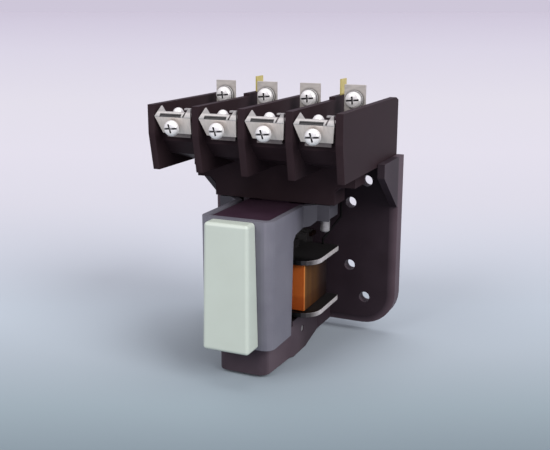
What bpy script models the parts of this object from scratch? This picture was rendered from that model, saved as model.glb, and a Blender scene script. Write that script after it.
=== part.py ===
import math

import bmesh
import bpy
import numpy as np
from mathutils import Vector

# A four-pole contactor standing on a wall plate. The back of the base is y = 0, and the
# centre of that face is the origin. Drops are measured down from the top of the barriers,
# and reaches are measured forward from the back of the base.

FIT_GAP = 0.0003
SLIDE_GAP = 0.0005
OVERLAP = 0.0004
ROUND_STEPS = 24
SMALL_STEPS = 14
CORNER_STEPS = 6
SHARP_ANGLE = math.radians(35.0)

# Contact block
BLOCK_TOP = 0.0768
POLE_COUNT = 4
POLE_PITCH = 0.024
BARRIER_THICK = 0.0035
BARRIER_HEIGHT = 0.032
BARRIER_REACH = 0.086
BARRIER_NOSE_DROP = 0.0138
BARRIER_NOSE_BACK = 0.0035
BARRIER_TAIL_RUN = 0.004
BARRIER_TAIL_DROP = 0.0015
FLOOR_DROP = 0.024
FLOOR_THICK = 0.003
SUPPORT_GAP = 0.0005
SUPPORT_HEIGHT = 0.0108
SUPPORT_KNEE = 0.007
BODY_REACH = 0.04925
BODY_LENGTH = 0.015
BODY_STEP = 0.00625
BODY_DROP = 0.0405
BODY_WALL = 0.00225
NECK_STEP = 0.0105
NECK_CHAMFER = 0.0027
NECK_DROP = 0.0499
FOOT_HALF_WIDTH = 0.020
FOOT_REACH = 0.020
FOOT_DROP = 0.050
BLADE_RIB_REACH = 0.0304
BLADE_RIB_LENGTH = 0.0264
BLADE_RIB_HEIGHT = 0.0015

# Contacts and mechanism
TRAVEL = 0.0065
OVERTRAVEL = 0.0018
STRIP_THICK = 0.0014
TIP_THICK = 0.0012
TIP_RADIUS = 0.0026
MOVING_TIP_THICK = 0.001
BRIDGE_THICK = 0.0016
BRIDGE_HALF_LENGTH = 0.0125
BRIDGE_HALF_WIDTH = 0.0035
TIP_INSET = 0.003
CONTACT_SPRING_LENGTH = 0.0047
CONTACT_SPRING_RADIUS = 0.0019
CONTACT_SPRING_WIRE = 0.00028
CONTACT_SPRING_TURNS = 3
CARRIER_REACH = 0.0445
CARRIER_HALF_DEPTH = 0.0025
CARRIER_POST = 0.0018
CARRIER_CAP = 0.0015
BAR_THICK = 0.0055
BAR_ROOF = 0.002
CROSS_HALF_WIDTH = 0.01525
CROSS_DROP = 0.051
CROSS_THICK = 0.006
CROSS_REACH = 0.0895
CROSS_TAIL_REACH = 0.016
CROSS_NECK_HALF_WIDTH = 0.008
CHEEK_THICK = 0.0024
CHEEK_REACH = 0.062
CHEEK_TAIL_REACH = 0.024
RETURN_SPRING_RADIUS = 0.0032
RETURN_SPRING_WIRE = 0.00035
RETURN_SPRING_TURNS = 5

# Magnet and coil
CORE_HALF_WIDTH = 0.008
CORE_STANDOFF = 0.0045
CORE_LIMB = 0.0087
CORE_WINDOW = 0.0108
CORE_CENTRE = 0.016
ARMATURE_THICK = 0.0087
YOKE_THICK = 0.014
POLE_TO_FLANGE = 0.0042
FLANGE_THICK = 0.0025
FLANGE_HALF_WIDTH = 0.0273
FLANGE_CORNER = 0.010
FLANGE_REAR_CORNER = 0.003
TUBE_WALL = 0.0015
WINDING_HEIGHT = 0.0249
WINDING_HALF_WIDTH = 0.021
WINDING_HALF_DEPTH = 0.016
YOKE_CLEARANCE = 0.001
RING_WIRE = 0.0012
RING_DEPTH = 0.002
RING_BELOW = 0.0005
RING_LIMB_SHARE = 0.5
PIN_RADIUS = 0.0015
MAGNET_PIN_REACH = 0.0443
MAGNET_PIN_DROP = 0.1188
MAGNET_PIN_HALF_LENGTH = 0.0142

# Base
BASE_TOP_DROP = 0.0323
BASE_BOTTOM_DROP = 0.1243
BASE_THICK = 0.010
BASE_CORNER = 0.018
BASE_CHAMFER = 0.004
BASE_CHAMFER_DEPTH = 0.0016
BASE_RIM = 0.005
BASE_RECESS = 0.0035
BASE_LAND = 0.008
CHEEK_WALL = 0.0037
SIDE_REACH = 0.0345
SIDE_TOP_DROP = 0.0303
SIDE_STEP_DROP = 0.0374
SIDE_END_DROP = 0.057
HOLE_RADIUS = 0.003
INNER_HOLE_X = 0.0282
INNER_HOLE_DROP = 0.0566
INNER_HOLE_SPACING = 0.0351
OUTER_HOLE_X = 0.037
OUTER_HOLE_DROP = 0.0442
OUTER_HOLE_SPACING = 0.0649
NOSE_REACH = 0.0875
NOSE_FRONT_LENGTH = 0.0275
NOSE_FRONT_HALF_WIDTH = 0.0132
NOSE_REAR_HALF_WIDTH = 0.0145
NOSE_FRONT_TOP_DROP = 0.1133
NOSE_REAR_TOP_DROP = 0.1107
NOSE_STEP_REACH = 0.0575
NOSE_WALL = 0.0026
NOSE_BOTTOM_DROP = 0.129
NOSE_MIDDLE_DROP = 0.1304
NOSE_MIDDLE_REACH = 0.056
NOSE_MIDDLE_END_REACH = 0.040
NOSE_HEEL_REACH = 0.023
NOSE_HEEL_DROP = 0.1264
NOSE_END_DROP = 0.1237
NOSE_FOOT_HALF_WIDTH = 0.0172
NOSE_CORNER = 0.005
NOSE_RAIL = 0.003

# Front frame and label
FRAME_HALF_WIDTH = 0.01875
FRAME_WALL = 0.003
FRAME_FRONT_WALL = 0.004
FRAME_FRONT_REACH = 0.094
FRAME_CORNER = 0.005
FRAME_TOP_DROP = 0.0502
FRAME_BOTTOM_DROP = 0.113
FRAME_SIDE_REACH = 0.0672
FRAME_FOOT_REACH = 0.0698
FRAME_ARM_DROP = 0.0626
FRAME_ARM_LENGTH = 0.0027
FRAME_ARM_RISE = 0.0018
FRAME_ARM_REACH = 0.052
FRAME_EAR_BOTTOM_DROP = 0.057
FRAME_EAR_SLOPE_REACH = 0.048
EAR_REACH = 0.0495
EAR_DEPTH = 0.012
EAR_INNER = 0.0225
EAR_OUTER = 0.0305
STUD_X = 0.02625
STUD_REACH = 0.044
STUD_RADIUS = 0.0024
STUD_END_DROP = 0.0648
STUD_SEAT = 0.005
LABEL_HALF_WIDTH = 0.0124
LABEL_TOP_DROP = 0.0505
LABEL_BOTTOM_DROP = 0.1128
LABEL_TOP_THICK = 0.0073
LABEL_BOTTOM_THICK = 0.0108
LABEL_SOFT = 0.0014

# Terminals
STRIP_HALF_WIDTH = 0.0064
STRIP_TONGUE_HALF_WIDTH = 0.0034
STRIP_REACH = 0.0837
STRIP_LEG_REACH = 0.0806
STRIP_TOP_DROP = 0.0055
STRIP_LIP_DROP = 0.0158
STRIP_KNEE_LENGTH = 0.018
FOOT_PAST_TIP = 0.003
CLAMP_REACH = 0.0865
CLAMP_THICK = 0.0011
CLAMP_FOOT_BACK = 0.0044
CLAMP_EAR_BACK = 0.0038
CLAMP_SIDE_GAP = 0.0005
CLAMP_TIP_DROP = 0.0053
CLAMP_FOOT_STEP = 0.002
CLAMP_FOOT_DROP = 0.0137
CLAMP_EAR_STEP = 0.00185
CLAMP_EAR_DROP = 0.0006
CLAMP_EAR_FOOT = 0.001
CLAMP_NOTCH = 0.0029
CLAMP_LIP_DROP = 0.0031
CLAMP_SLOT_HEIGHT = 0.0009
CLAMP_SLOT_DEPTH = 0.0004
CLAMP_SLOT_LEFT = 0.0068
CLAMP_SLOT_RIGHT = 0.0044
CLAMP_SLIT_STEP = 0.0044
CLAMP_SLIT = 0.0008
CLAMP_SLIT_LEAN = 0.00115
CLAMP_HOOK_DROP = 0.0014
CLAMP_HOOK_STEP = 0.0014
CLAMP_HOOK_LENGTH = 0.0034
CLAMP_HOOK_DEPTH = 0.002
CLAMP_HOOK_THICK = 0.0008
CLAMP_SCREW_DROP = 0.0106
CLAMP_HEAD_RADIUS = 0.0043
CLAMP_HEAD_HEIGHT = 0.0026
CLAMP_SHAFT_RADIUS = 0.0017
CLAMP_SHAFT_LENGTH = 0.013
DOME_REACH = 0.0805
DOME_RADIUS = 0.0030
DOME_HEIGHT = 0.0040
DOME_SHAFT_RADIUS = 0.0014
DOME_SHAFT_LENGTH = 0.0014
TAB_REACH = 0.0307
TAB_HALF_WIDTH = 0.0055
TAB_RISE = 0.008
TAB_SCREW_RISE = 0.0006
TAB_HEAD_RADIUS = 0.00415
TAB_HEAD_HEIGHT = 0.0028
WASHER_THICK = 0.0008
WASHER_RADIUS = 0.0046
TAB_SHAFT_LENGTH = 0.008
RECESS_ARM = 0.00045
RECESS_SLOT_SHARE = 0.88
RECESS_CROSS_SHARE = 0.5
RECESS_DEPTH_SHARE = 0.5
RECESS_TAPER = 0.8
CLAMP_SCREW_TURN = math.radians(16.0)
TAB_SCREW_TURN = math.radians(5.0)
BLADE_THICK = 0.0008
BLADE_REACH = 0.018
BLADE_LENGTH = 0.008
BLADE_RISE = 0.0095
BLADE_TAIL_LENGTH = 0.005
BLADE_TAIL_DROP = 0.036
BLADE_NECK_DROP = 0.014
LEAD_RADIUS = 0.0007
LEAD_END_X = 0.0185
LEAD_END_REACH = 0.0262
LEAD_BEND_DROP = 0.064
BLOCK_SCREW_X = 0.012
BLOCK_SCREW_DROP = 0.044
BLOCK_SCREW_HEAD_RADIUS = 0.003
BLOCK_SCREW_HEAD_HEIGHT = 0.002
BLOCK_SCREW_RADIUS = 0.0015
BLOCK_SCREW_LENGTH = 0.013

DARK_MOULDING = (0.035, 0.026, 0.030)
BASE_MOULDING = (0.050, 0.034, 0.044)
CROSS_MOULDING = (0.030, 0.016, 0.030)
FRAME_GREY = (0.19, 0.18, 0.21)
LABEL_PALE = (0.55, 0.62, 0.56)
NICKEL = (0.62, 0.60, 0.57)
STEEL = (0.60, 0.60, 0.61)
LAMINATION = (0.30, 0.29, 0.28)
COPPER = (0.42, 0.17, 0.06)
BRASS = (0.72, 0.58, 0.30)
SILVER = (0.66, 0.66, 0.68)
LEAD_COVER = (0.02, 0.018, 0.02)

for item in list(bpy.data.objects):
    bpy.data.objects.remove(item, do_unlink=True)


def level(drop):
    return BLOCK_TOP - drop


def out(reach):
    return -reach


def material(name, colour, metal, rough):
    made = bpy.data.materials.new(name)
    made.use_nodes = True
    shader = made.node_tree.nodes["Principled BSDF"]
    shader.inputs["Base Color"].default_value = (*colour, 1.0)
    shader.inputs["Metallic"].default_value = metal
    shader.inputs["Roughness"].default_value = rough
    made.diffuse_color = (*colour, 1.0)
    return made


def add_object(name, work):
    bmesh.ops.remove_doubles(work, verts=work.verts, dist=1e-7)
    bmesh.ops.recalc_face_normals(work, faces=work.faces)
    mesh = bpy.data.meshes.new(name)
    work.to_mesh(mesh)
    work.free()
    made = bpy.data.objects.new(name, mesh)
    bpy.context.scene.collection.objects.link(made)
    return made


def skin(name, loops):
    work = bmesh.new()
    rows = [[work.verts.new(point) for point in loop] for loop in loops]
    count = len(rows[0])
    for low, high in zip(rows, rows[1:]):
        for index in range(count):
            after = (index + 1) % count
            work.faces.new((low[index], low[after], high[after], high[index]))
    work.faces.new(list(reversed(rows[0])))
    work.faces.new(rows[-1])
    return add_object(name, work)


def box(name, low, high):
    corners = [(low[0], low[1]), (high[0], low[1]), (high[0], high[1]), (low[0], high[1])]
    return skin(name, [[(x, y, z) for x, y in corners] for z in (low[2], high[2])])


def along_x(name, outline, low, high):
    return skin(name, [[(x, y, z) for y, z in outline] for x in (low, high)])


def along_y(name, outline, low, high):
    return skin(name, [[(x, y, z) for x, z in outline] for y in (low, high)])


def along_z(name, outline, low, high):
    return skin(name, [[(x, y, z) for x, y in outline] for z in (low, high)])


def turned(name, profile, centre, axis, steps=ROUND_STEPS):
    facing = Vector(axis).normalized()
    side = facing.orthogonal().normalized()
    cross = facing.cross(side)
    loops = []
    for radius, distance in profile:
        loop = []
        for step in range(steps):
            turn = 2.0 * math.pi * step / steps
            spoke = side * math.cos(turn) + cross * math.sin(turn)
            loop.append(tuple(Vector(centre) + facing * distance + spoke * radius))
        loops.append(loop)
    return skin(name, loops)


def rod(name, radius, start, end, steps=ROUND_STEPS):
    span = Vector(end) - Vector(start)
    return turned(name, [(radius, 0.0), (radius, span.length)], start, span, steps)


def tube_along(name, points, radius, steps):
    path = [Vector(point) for point in points]
    loops = []
    side = (path[1] - path[0]).orthogonal().normalized()
    for index, point in enumerate(path):
        before = path[max(index - 1, 0)]
        after = path[min(index + 1, len(path) - 1)]
        facing = (after - before).normalized()
        side = (side - facing * side.dot(facing)).normalized()
        cross = facing.cross(side)
        loops.append([tuple(point + (side * math.cos(turn) + cross * math.sin(turn)) * radius)
                      for turn in (2.0 * math.pi * step / steps for step in range(steps))])
    return skin(name, loops)


def spring(name, x, y, low, high, radius, wire, turns):
    per_turn = 10
    count = turns * per_turn
    bottom = low + wire
    rise = (high - low - 2.0 * wire) / count
    points = [(x + radius * math.cos(2.0 * math.pi * step / per_turn),
               y + radius * math.sin(2.0 * math.pi * step / per_turn),
               bottom + rise * step) for step in range(count + 1)]
    return tube_along(name, points, wire, 6)


def combine(target, others, operation):
    for other in others:
        fitting = target.modifiers.new("fitting", "BOOLEAN")
        fitting.solver = "EXACT"
        fitting.operation = operation
        fitting.object = other
        bpy.context.view_layer.update()
        graph = bpy.context.evaluated_depsgraph_get()
        shaped = bpy.data.meshes.new_from_object(target.evaluated_get(graph))
        target.modifiers.clear()
        target.data = shaped
        bpy.data.objects.remove(other, do_unlink=True)
    return target


def join(target, *others):
    return combine(target, others, "UNION")


def carve(target, *others):
    return combine(target, others, "DIFFERENCE")


def finish(made, surface, round_part=False, origin=None):
    mesh = made.data
    mesh.name = made.name
    mesh.materials.clear()
    mesh.materials.append(surface)
    if origin is not None:
        places = np.empty(len(mesh.vertices) * 3)
        mesh.vertices.foreach_get("co", places)
        mesh.vertices.foreach_set("co", (places.reshape(-1, 3) - np.array(origin)).ravel())
        made.location = origin
    for polygon in mesh.polygons:
        polygon.use_smooth = round_part
    if round_part:
        mesh.set_sharp_from_angle(angle=SHARP_ANGLE)
    mesh.update()
    return made


def arc(centre, radius, start, end, steps=CORNER_STEPS):
    points = []
    for step in range(steps + 1):
        turn = math.radians(start + (end - start) * step / steps)
        points.append((centre[0] + radius * math.cos(turn), centre[1] + radius * math.sin(turn)))
    return points


def mirrored(outline):
    return outline + [(-x, other) for x, other in reversed(outline)]


def slot_recess(name, centre, radius, height, turn):
    side = Vector((math.cos(turn), 0.0, math.sin(turn)))
    up = Vector((-math.sin(turn), 0.0, math.cos(turn)))
    near = RECESS_ARM
    loops = []
    for distance, share in ((height * RECESS_DEPTH_SHARE, RECESS_TAPER), (-OVERLAP, 1.0)):
        far = radius * RECESS_SLOT_SHARE * share
        top = radius * RECESS_CROSS_SHARE * share
        plan = [(near, near), (near, top), (-near, top), (-near, near), (-far, near), (-far, -near),
                (-near, -near), (-near, -top), (near, -top), (near, -near), (far, -near), (far, near)]
        loops.append([tuple(Vector(centre) + Vector((0.0, distance, 0.0)) + side * a + up * b)
                      for a, b in plan])
    return skin(name, loops)


def pan_screw(name, face, head_radius, head_height, shaft_radius, shaft_length, turn):
    profile = [(head_radius * 0.45, 0.0), (head_radius * 0.8, head_height * 0.12),
               (head_radius * 0.96, head_height * 0.36), (head_radius, head_height * 0.6),
               (head_radius, head_height), (shaft_radius, head_height),
               (shaft_radius, head_height + shaft_length)]
    made = turned(name, profile, face, (0.0, 1.0, 0.0))
    return carve(made, slot_recess("recess", face, head_radius, head_height, turn))


dark = material("block_moulding", DARK_MOULDING, 0.0, 0.42)
purple = material("base_moulding", BASE_MOULDING, 0.0, 0.45)
cross_material = material("crosshead_moulding", CROSS_MOULDING, 0.0, 0.5)
grey = material("frame_finish", FRAME_GREY, 0.0, 0.5)
pale = material("label_finish", LABEL_PALE, 0.0, 0.4)
nickel = material("terminal_metal", NICKEL, 1.0, 0.3)
steel = material("screw_steel", STEEL, 1.0, 0.3)
iron = material("core_iron", LAMINATION, 1.0, 0.5)
copper = material("winding_copper", COPPER, 0.6, 0.4)
brass = material("blade_brass", BRASS, 1.0, 0.3)
cover = material("lead_cover", LEAD_COVER, 0.0, 0.5)
silver = material("flange_silver", SILVER, 0.8, 0.35)

pole_x = [(index - (POLE_COUNT - 1) / 2.0) * POLE_PITCH for index in range(POLE_COUNT)]
barrier_x = [(index - POLE_COUNT / 2.0) * POLE_PITCH for index in range(POLE_COUNT + 1)]
blade_x = [barrier_x[1], barrier_x[-2]]
channel_half = (POLE_PITCH - BARRIER_THICK) / 2.0
block_half = POLE_COUNT / 2.0 * POLE_PITCH + BARRIER_THICK / 2.0
body_half = block_half - BODY_STEP
neck_half = body_half - NECK_STEP
base_half = block_half + FIT_GAP + CHEEK_WALL
clamp_tip = channel_half - CLAMP_SIDE_GAP
clamp_foot = clamp_tip - CLAMP_FOOT_STEP
clamp_ear = clamp_tip - CLAMP_EAR_STEP
clamp_lip = clamp_ear - CLAMP_NOTCH
clamp_slit = clamp_tip - CLAMP_SLIT_STEP
clamp_hook = clamp_tip - CLAMP_HOOK_STEP
carrier_y = out(CARRIER_REACH)
core_middle = CORE_LIMB + CORE_WINDOW + CORE_CENTRE / 2.0
core_rear = out(BASE_THICK + CORE_STANDOFF)
core_y = core_rear - core_middle
core_front = core_y - core_middle

# Heights of the mechanism at rest, from the floor upward
strip_low = level(FLOOR_DROP) + FIT_GAP
strip_high = strip_low + STRIP_THICK
fixed_tip_high = strip_high + TIP_THICK
moving_tip_low = fixed_tip_high + TRAVEL - OVERTRAVEL + FIT_GAP
bridge_low = moving_tip_low + MOVING_TIP_THICK
bridge_high = bridge_low + BRIDGE_THICK
sill_high = bridge_low - FIT_GAP
cap_low = bridge_high + CONTACT_SPRING_LENGTH + 2.0 * FIT_GAP
cap_high = cap_low + CARRIER_CAP
bar_high = level(FLOOR_DROP) - BAR_ROOF - FIT_GAP
bar_low = bar_high - BAR_THICK
bar_floor = bar_low - TRAVEL - SLIDE_GAP
carrier_half = BRIDGE_HALF_WIDTH + FIT_GAP + CARRIER_POST
bar_half = pole_x[-1] + carrier_half

# Heights of the magnet at rest, from the crosshead down
cross_low = level(CROSS_DROP) - CROSS_THICK
armature_high = cross_low - FIT_GAP
armature_low = armature_high - ARMATURE_THICK
pole_face = armature_low - TRAVEL - FIT_GAP
flange_high = pole_face - POLE_TO_FLANGE
winding_high = flange_high - FLANGE_THICK
winding_low = winding_high - WINDING_HEIGHT
flange_bottom = winding_low - FLANGE_THICK
yoke_high = flange_bottom - YOKE_CLEARANCE
yoke_low = yoke_high - YOKE_THICK

# Contact block: floor, barriers, body, rear foot and blade ribs in one moulding
support_front = out(STRIP_LEG_REACH) + STRIP_THICK + SUPPORT_GAP
knee_back = out(STRIP_REACH) + STRIP_KNEE_LENGTH
support_back = knee_back - STRIP_THICK - FIT_GAP
support_high = level(STRIP_TOP_DROP) - STRIP_THICK - FIT_GAP
body_front = out(BODY_REACH)
body_back = body_front + BODY_LENGTH
block_front = out(BARRIER_REACH)
floor_high = level(FLOOR_DROP)
floor_outline = [
    (support_front, support_high),
    (support_back, support_high),
    (support_back, floor_high),
    (0.0, floor_high),
    (0.0, floor_high - FLOOR_THICK),
    (body_back - OVERLAP, floor_high - FLOOR_THICK),
    (body_back - OVERLAP, level(BARRIER_HEIGHT)),
    (body_front + OVERLAP, level(BARRIER_HEIGHT) + OVERLAP),
    (support_front + SUPPORT_KNEE, floor_high - OVERLAP * 3.0),
    (support_front, support_high - SUPPORT_HEIGHT),
]
block = along_x("contact_block", floor_outline, -block_half + OVERLAP, block_half - OVERLAP)
barrier_outline = [
    (block_front, BLOCK_TOP),
    (block_front, level(BARRIER_NOSE_DROP)),
    (block_front + BARRIER_NOSE_BACK, level(BARRIER_HEIGHT)),
    (0.0, level(BARRIER_HEIGHT)),
    (0.0, level(BARRIER_TAIL_DROP)),
    (out(BARRIER_TAIL_RUN), BLOCK_TOP),
]
for centre in barrier_x:
    wall = along_x("wall", barrier_outline, centre - BARRIER_THICK / 2.0, centre + BARRIER_THICK / 2.0)
    block = join(block, wall)
body_outline = mirrored([
    (body_half, floor_high - OVERLAP),
    (body_half, level(BODY_DROP)),
    (neck_half + NECK_CHAMFER, level(BODY_DROP)),
    (neck_half, level(BODY_DROP) - NECK_CHAMFER),
    (neck_half, level(NECK_DROP)),
])
block = join(block, along_y("body", body_outline, body_front, body_back))
foot_front = out(FOOT_REACH)
foot_back = out(BASE_THICK + FIT_GAP)
block = join(block, box("foot", (-FOOT_HALF_WIDTH, foot_front, level(FOOT_DROP)),
                        (FOOT_HALF_WIDTH, foot_back, floor_high - OVERLAP)))
for centre in blade_x:
    rib_front = out(BLADE_RIB_REACH)
    rib_low = (centre - BARRIER_THICK / 2.0 + OVERLAP / 4.0, rib_front, BLOCK_TOP - OVERLAP)
    rib_high = (centre + BARRIER_THICK / 2.0 - OVERLAP / 4.0, rib_front + BLADE_RIB_LENGTH,
                BLOCK_TOP + BLADE_RIB_HEIGHT)
    block = join(block, box("rib", rib_low, rib_high))

slot_half_depth = CARRIER_HALF_DEPTH + SLIDE_GAP
cuts = [box("bar_space", (-bar_half - SLIDE_GAP, carrier_y - slot_half_depth, bar_floor),
            (bar_half + SLIDE_GAP, carrier_y + slot_half_depth, bar_high + FIT_GAP)),
        box("neck_space", (-CROSS_NECK_HALF_WIDTH - SLIDE_GAP, carrier_y - slot_half_depth,
                           level(NECK_DROP) - OVERLAP),
            (CROSS_NECK_HALF_WIDTH + SLIDE_GAP, carrier_y + slot_half_depth, bar_low))]
for centre in pole_x:
    cuts.append(box("slot", (centre - carrier_half - SLIDE_GAP, carrier_y - slot_half_depth, bar_low),
                    (centre + carrier_half + SLIDE_GAP, carrier_y + slot_half_depth,
                     floor_high + OVERLAP)))
    cuts.append(rod("screw_space", CLAMP_SHAFT_RADIUS + FIT_GAP,
                    (centre, support_front - OVERLAP, level(CLAMP_SCREW_DROP)),
                    (centre, out(CLAMP_REACH) + CLAMP_SHAFT_LENGTH + FIT_GAP,
                     level(CLAMP_SCREW_DROP)), SMALL_STEPS))
for side in (-1.0, 1.0):
    cuts.append(rod("stud_space", STUD_RADIUS + FIT_GAP,
                    (side * STUD_X, out(STUD_REACH), level(NECK_DROP) - OVERLAP),
                    (side * STUD_X, out(STUD_REACH), level(NECK_DROP) + STUD_SEAT + FIT_GAP)))
    cuts.append(rod("fixing_space", BLOCK_SCREW_RADIUS + FIT_GAP,
                    (side * BLOCK_SCREW_X, foot_back + OVERLAP, level(BLOCK_SCREW_DROP)),
                    (side * BLOCK_SCREW_X, foot_back - BLOCK_SCREW_LENGTH + BASE_THICK - BASE_RECESS,
                     level(BLOCK_SCREW_DROP)), SMALL_STEPS))
blade_front = out(BLADE_REACH)
blade_back = blade_front + BLADE_LENGTH
blade_half = BLADE_THICK / 2.0
for centre in blade_x:
    tail_low = blade_front + (BLADE_LENGTH - BLADE_TAIL_LENGTH) / 2.0
    slot_side = blade_half + FIT_GAP
    cuts.append(box("blade_space", (centre - slot_side, blade_front - FIT_GAP,
                                    level(BLADE_NECK_DROP) - FIT_GAP),
                    (centre + slot_side, blade_back + FIT_GAP, BLOCK_TOP + BLADE_RIB_HEIGHT + OVERLAP)))
    cuts.append(box("tail_space", (centre - slot_side, tail_low - FIT_GAP,
                                   level(BARRIER_HEIGHT) - OVERLAP),
                    (centre + slot_side, tail_low + BLADE_TAIL_LENGTH + FIT_GAP,
                     level(BLADE_NECK_DROP))))
finish(carve(block, *cuts), dark)

# Crosshead: plate in the frame, neck, bar inside the block and one carrier for each pole
plate_front = out(CROSS_REACH)
plate_corner = FRAME_CORNER - FRAME_WALL
plate_plan = mirrored(arc((CROSS_HALF_WIDTH - plate_corner, plate_front + plate_corner), plate_corner,
                          -90.0, 0.0)
                      + [(CROSS_HALF_WIDTH, out(CROSS_TAIL_REACH))])
cross = along_z("crosshead", plate_plan, cross_low, level(CROSS_DROP))
bar_front = carrier_y - CARRIER_HALF_DEPTH
bar_back = carrier_y + CARRIER_HALF_DEPTH
shape = mirrored([
    (CROSS_NECK_HALF_WIDTH, level(CROSS_DROP) - OVERLAP),
    (CROSS_NECK_HALF_WIDTH, bar_low),
    (bar_half, bar_low),
    (bar_half, bar_high),
])
carriers = along_y("carriers", shape, bar_front, bar_back)
for centre in pole_x:
    carriers = join(carriers, box("post", (centre - carrier_half, bar_front, bar_low + OVERLAP),
                                  (centre + carrier_half, bar_back, cap_high)))
windows = [box("window", (centre - carrier_half + CARRIER_POST, bar_front - OVERLAP, sill_high),
               (centre + carrier_half - CARRIER_POST, bar_back + OVERLAP, cap_low)) for centre in pole_x]
cross = join(cross, carve(carriers, *windows))
cheek_inner = CORE_HALF_WIDTH + FIT_GAP
pin_z = (armature_high + armature_low) / 2.0
for side in (-1.0, 1.0):
    low_x, high_x = sorted((side * cheek_inner, side * (cheek_inner + CHEEK_THICK)))
    cross = join(cross, box("cheek", (low_x, out(CHEEK_REACH), armature_low),
                            (high_x, out(CHEEK_TAIL_REACH), cross_low + OVERLAP)))
pin_half = cheek_inner + CHEEK_THICK
cross = carve(cross, rod("pin_space", PIN_RADIUS + FIT_GAP, (-pin_half - OVERLAP, core_y, pin_z),
                         (pin_half + OVERLAP, core_y, pin_z)))
cross_origin = (0.0, core_y, cross_low)
finish(cross, cross_material, origin=cross_origin)

armature = box("armature", (-CORE_HALF_WIDTH, core_front, armature_low),
               (CORE_HALF_WIDTH, core_rear, armature_high))
armature = carve(armature, rod("pin_space", PIN_RADIUS + FIT_GAP,
                               (-CORE_HALF_WIDTH - OVERLAP, core_y, pin_z),
                               (CORE_HALF_WIDTH + OVERLAP, core_y, pin_z)))
finish(armature, iron, origin=cross_origin)
finish(rod("armature_pin", PIN_RADIUS, (-pin_half, core_y, pin_z), (pin_half, core_y, pin_z)),
       steel, True, cross_origin)

# Magnet core with its shading rings and cross pin
limb_front_back = core_front + CORE_LIMB
centre_front = limb_front_back + CORE_WINDOW
centre_back = centre_front + CORE_CENTRE
limb_rear_front = centre_back + CORE_WINDOW
core_outline = [
    (core_front, yoke_low), (core_front, pole_face), (limb_front_back, pole_face),
    (limb_front_back, yoke_high), (centre_front, yoke_high), (centre_front, pole_face),
    (centre_back, pole_face), (centre_back, yoke_high), (limb_rear_front, yoke_high),
    (limb_rear_front, pole_face), (core_rear, pole_face), (core_rear, yoke_low),
]
core = along_x("magnet_core", core_outline, -CORE_HALF_WIDTH, CORE_HALF_WIDTH)
ring_high = pole_face - RING_BELOW
ring_low = ring_high - RING_DEPTH
ring_inner = CORE_HALF_WIDTH + FIT_GAP
ring_outer = ring_inner + RING_WIRE
for name, edge, way in (("shading_ring_front", core_front, 1.0), ("shading_ring_rear", core_rear, -1.0)):
    groove_mid = edge + way * CORE_LIMB * RING_LIMB_SHARE
    core = carve(core, box("groove", (-CORE_HALF_WIDTH - OVERLAP, groove_mid - RING_WIRE / 2.0 - FIT_GAP,
                                      ring_low - FIT_GAP),
                           (CORE_HALF_WIDTH + OVERLAP, groove_mid + RING_WIRE / 2.0 + FIT_GAP,
                            pole_face + OVERLAP)))
    outer_y = edge - way * (FIT_GAP + RING_WIRE)
    inner_y = edge - way * FIT_GAP
    far_y = groove_mid + way * RING_WIRE / 2.0
    near_y = groove_mid - way * RING_WIRE / 2.0
    ring = box(name, (-ring_outer, min(outer_y, far_y), ring_low),
               (ring_outer, max(outer_y, far_y), ring_high))
    hole = box("hole", (-ring_inner, min(inner_y, near_y), ring_low - OVERLAP),
               (ring_inner, max(inner_y, near_y), ring_high + OVERLAP))
    finish(carve(ring, hole), copper)
magnet_pin_y = out(MAGNET_PIN_REACH)
magnet_pin_z = level(MAGNET_PIN_DROP)
core = carve(core, rod("pin_space", PIN_RADIUS + FIT_GAP,
                       (-CORE_HALF_WIDTH - OVERLAP, magnet_pin_y, magnet_pin_z),
                       (CORE_HALF_WIDTH + OVERLAP, magnet_pin_y, magnet_pin_z)))
finish(core, iron)
finish(rod("magnet_pin", PIN_RADIUS, (-MAGNET_PIN_HALF_LENGTH, magnet_pin_y, magnet_pin_z),
           (MAGNET_PIN_HALF_LENGTH, magnet_pin_y, magnet_pin_z)), steel, True)

# Coil: bobbin tube with two flanges, and the winding round the tube
tube_x = CORE_HALF_WIDTH + FIT_GAP
tube_front = centre_front - FIT_GAP
tube_back = centre_back + FIT_GAP
flange_front = limb_front_back + SLIDE_GAP
flange_rear = limb_rear_front - SLIDE_GAP
flange_plan = mirrored(
    arc((FLANGE_HALF_WIDTH - FLANGE_CORNER, flange_front + FLANGE_CORNER), FLANGE_CORNER, -90.0, 0.0)
    + arc((FLANGE_HALF_WIDTH - FLANGE_REAR_CORNER, flange_rear - FLANGE_REAR_CORNER), FLANGE_REAR_CORNER,
          0.0, 90.0))
bobbin = along_z("coil_bobbin", flange_plan, winding_high, flange_high)
bobbin = join(bobbin, box("tube", (-tube_x - TUBE_WALL, tube_front - TUBE_WALL, winding_low - OVERLAP),
                          (tube_x + TUBE_WALL, tube_back + TUBE_WALL, winding_high + OVERLAP)))
bobbin = join(bobbin, along_z("flange", flange_plan, flange_bottom, winding_low))
bobbin = carve(bobbin, box("limb_space", (-tube_x, tube_front, flange_bottom - OVERLAP),
                           (tube_x, tube_back, flange_high + OVERLAP)))
finish(bobbin, silver)
wound_x = tube_x + TUBE_WALL + FIT_GAP
winding = box("coil_winding", (-WINDING_HALF_WIDTH, core_y - WINDING_HALF_DEPTH, winding_low + FIT_GAP),
              (WINDING_HALF_WIDTH, core_y + WINDING_HALF_DEPTH, winding_high - FIT_GAP))
winding = carve(winding,
                box("tube_space", (-wound_x, tube_front - TUBE_WALL - FIT_GAP, winding_low - OVERLAP),
                             (wound_x, tube_back + TUBE_WALL + FIT_GAP, winding_high + OVERLAP)))
finish(winding, copper)

# Base: plate with a recessed back, side cheeks, fixing holes and the nose for the magnet


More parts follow.
